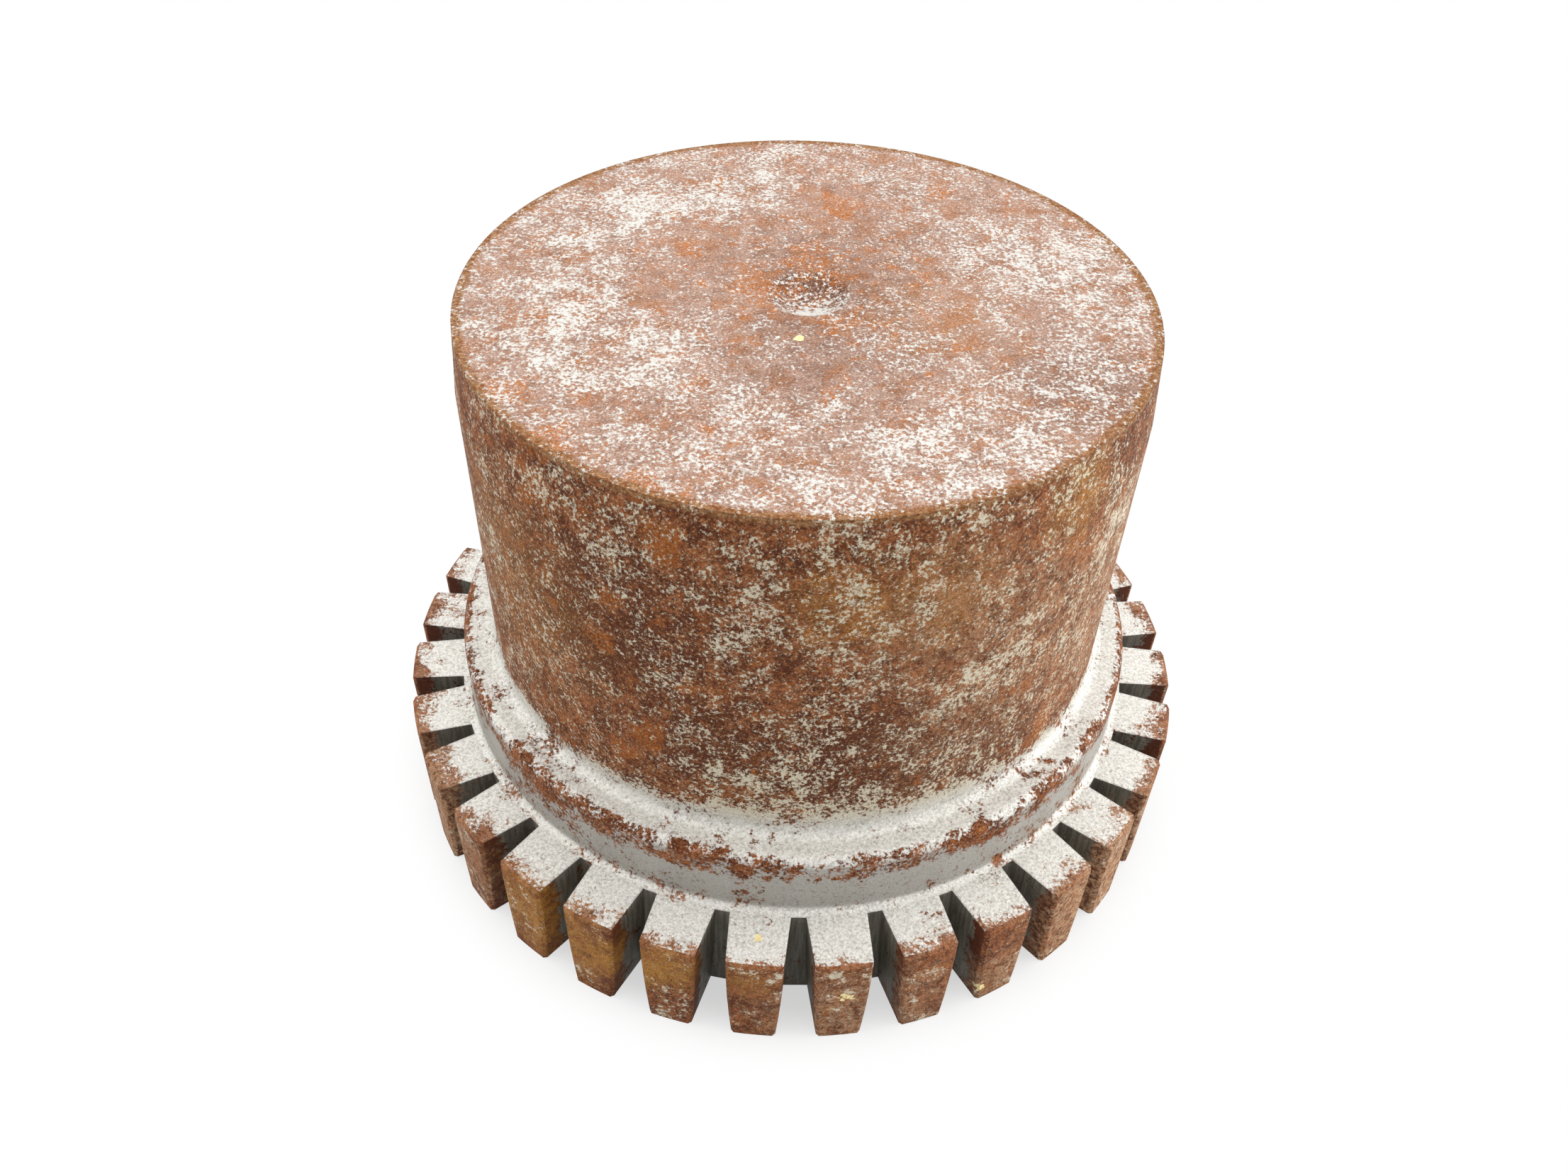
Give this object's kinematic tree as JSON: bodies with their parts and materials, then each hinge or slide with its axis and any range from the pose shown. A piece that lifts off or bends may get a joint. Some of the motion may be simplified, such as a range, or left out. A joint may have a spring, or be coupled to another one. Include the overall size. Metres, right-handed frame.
{
  "type": "shaft coupling hub",
  "caption": "Solid steel hub for a taper-grid shaft coupling: a plain barrel and a collar stand on a wider flange, whose rim is cut into a ring of curved-flank grid teeth.",
  "frame": {"origin": "centre of the gap face, where the slots open towards the other hub", "axes": "+Z along the shaft axis, from the gap face towards the end of the barrel; -Y through the middle of a slot"},
  "size_m": [0.1138, 0.1138, 0.0762],
  "materials": {
    "machined_steel": "turned and milled steel, bare and satin on the collar and in the slots, with brown and orange surface rust on the barrel, its end and the rim"
  },
  "bodies": {
    "root": {"hub": "machined_steel"}
  },
  "joints": []
}
